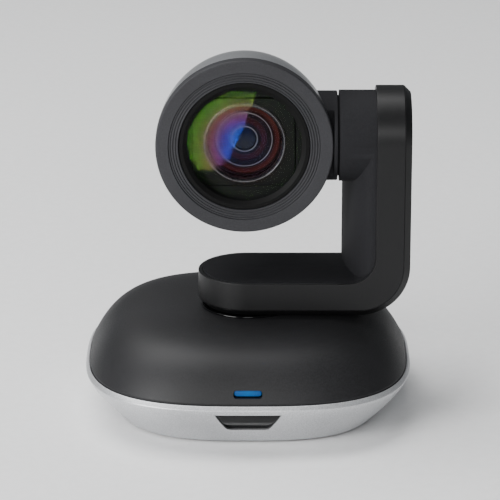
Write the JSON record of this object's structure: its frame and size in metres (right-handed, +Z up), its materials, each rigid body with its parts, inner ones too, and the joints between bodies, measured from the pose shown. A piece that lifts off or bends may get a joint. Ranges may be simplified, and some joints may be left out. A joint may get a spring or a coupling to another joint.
{
  "type": "ptz camera",
  "caption": "Pan-tilt-zoom conference camera: barrel head tilting on an L-shaped arm that pans on a rounded-square base.",
  "frame": {"origin": "centre of the footprint on the table, on the pan axis", "axes": "+Z up along the pan axis, -Y the way the lens looks at rest, +X towards the arm's upright"},
  "size_m": [0.131, 0.13, 0.146],
  "materials": {
    "silver_paint": "fine metallic satin paint",
    "matte_black": "fine-grained matte moulding",
    "arm_black": "satin black paint",
    "plate_black": "black powder coat on steel",
    "gloss_black": "polished",
    "rubber": "matte",
    "brass": "machined",
    "circuit_board": "solder mask",
    "steel": "bright",
    "zinc_screws": "zinc plated",
    "cast_bridge": "die cast",
    "bearing_bronze": "sintered bronze",
    "gear_nylon": "moulded",
    "barrel_paint": "satin gunmetal paint",
    "bezel_grey": "satin grey anodised",
    "clear_glass": "coated",
    "lens_glass": "multi-coated",
    "blue_light": "lit light guide",
    "motor_steel": "nickel plated can",
    "cable_grey": "flexible ribbon"
  },
  "bodies": {
    "base": {"lower_shell": "silver_paint", "top_cover": "matte_black", "bottom_plate": "plate_black", "rubber_feet": "rubber", "tripod_insert": "brass", "port_panel": "matte_black", "remote_window": "gloss_black", "status_light": "blue_light", "light_board": "circuit_board", "remote_receiver": "gloss_black", "main_board": "circuit_board", "shield_can": "steel", "usb_port": "steel", "power_jack": "matte_black", "lock_plate": "steel", "pan_bridge": "cast_bridge", "pan_bearing": "bearing_bronze", "pan_motor": "motor_steel", "base_screws": "zinc_screws", "hub_ring": "matte_black"},
    "arm": {"pan_shaft": "steel", "pan_gear": "gear_nylon", "pan_clip": "zinc_screws", "arm_frame": "arm_black", "arm_lining": "arm_black", "arm_cover": "arm_black", "drive_plate": "steel", "tilt_motor": "motor_steel", "tilt_bearing": "bearing_bronze", "arm_board": "circuit_board", "arm_cable": "cable_grey", "arm_screws": "zinc_screws"},
    "head": {"barrel_shell": "barrel_paint", "rear_cap": "matte_black", "front_bezel": "bezel_grey", "trim_ring": "gloss_black", "front_window": "clear_glass", "lens_mask": "gloss_black", "tilt_boss": "matte_black", "tilt_shaft": "steel", "tilt_gear": "gear_nylon", "tilt_clip": "zinc_screws", "head_frame": "matte_black", "head_screws": "zinc_screws", "lens_housing": "matte_black", "lens_tube": "matte_black", "front_lens": "lens_glass", "lens_baffle": "matte_black", "guide_rods": "steel", "zoom_motor": "motor_steel", "focus_motor": "motor_steel", "sensor_board": "circuit_board"},
    "pan_drive": {"pan_pinion": "gear_nylon"},
    "tilt_drive": {"tilt_pinion": "gear_nylon"},
    "zoom_group": {"zoom_carriage": "matte_black", "zoom_lens": "lens_glass"},
    "focus_group": {"focus_carriage": "matte_black", "focus_lens": "lens_glass"},
    "zoom_drive": {"zoom_screw": "steel"},
    "focus_drive": {"focus_screw": "steel"}
  },
  "joints": [
    {"name": "pan", "type": "hinge", "parent": "base", "child": "arm", "pos_m": [0, 0, 0.03], "axis": [0, 0, 1], "range_deg": [-130, 130]},
    {"name": "tilt", "type": "hinge", "parent": "arm", "child": "head", "pos_m": [0, 0, 0.111], "axis": [-1, 0, 0], "range_deg": [-40, 90]},
    {"name": "pan_drive_spin", "type": "hinge", "parent": "base", "child": "pan_drive", "pos_m": [-0.01754, 0.01754, 0.018], "axis": [0, 0, 1], "range_deg": [-545, 545]},
    {"name": "tilt_drive_spin", "type": "hinge", "parent": "arm", "child": "tilt_drive", "pos_m": [0.0548, 0.009, 0.09427], "axis": [-1, 0, 0], "range_deg": [-485, 220]},
    {"name": "zoom", "type": "slide", "parent": "head", "child": "zoom_group", "axis": [0, -1, 0], "range_m": [0, 0.008]},
    {"name": "focus", "type": "slide", "parent": "head", "child": "focus_group", "axis": [0, -1, 0], "range_m": [0, 0.002]},
    {"name": "zoom_drive_spin", "type": "hinge", "parent": "head", "child": "zoom_drive", "pos_m": [0.0126, 0.008, 0.1235], "axis": [0, -1, 0], "range_deg": [-10, 1450]},
    {"name": "focus_drive_spin", "type": "hinge", "parent": "head", "child": "focus_drive", "pos_m": [-0.0154, 0.012, 0.0985], "axis": [0, -1, 0], "range_deg": [-10, 370]}
  ],
  "couplings": [
    {"joint": "pan_drive_spin", "follows": "pan", "ratio": -4.1667},
    {"joint": "tilt_drive_spin", "follows": "tilt", "ratio": -5.3333},
    {"joint": "zoom_drive_spin", "follows": "zoom", "rad_per_m": 3141.6},
    {"joint": "focus_drive_spin", "follows": "focus", "rad_per_m": 3141.6}
  ]
}
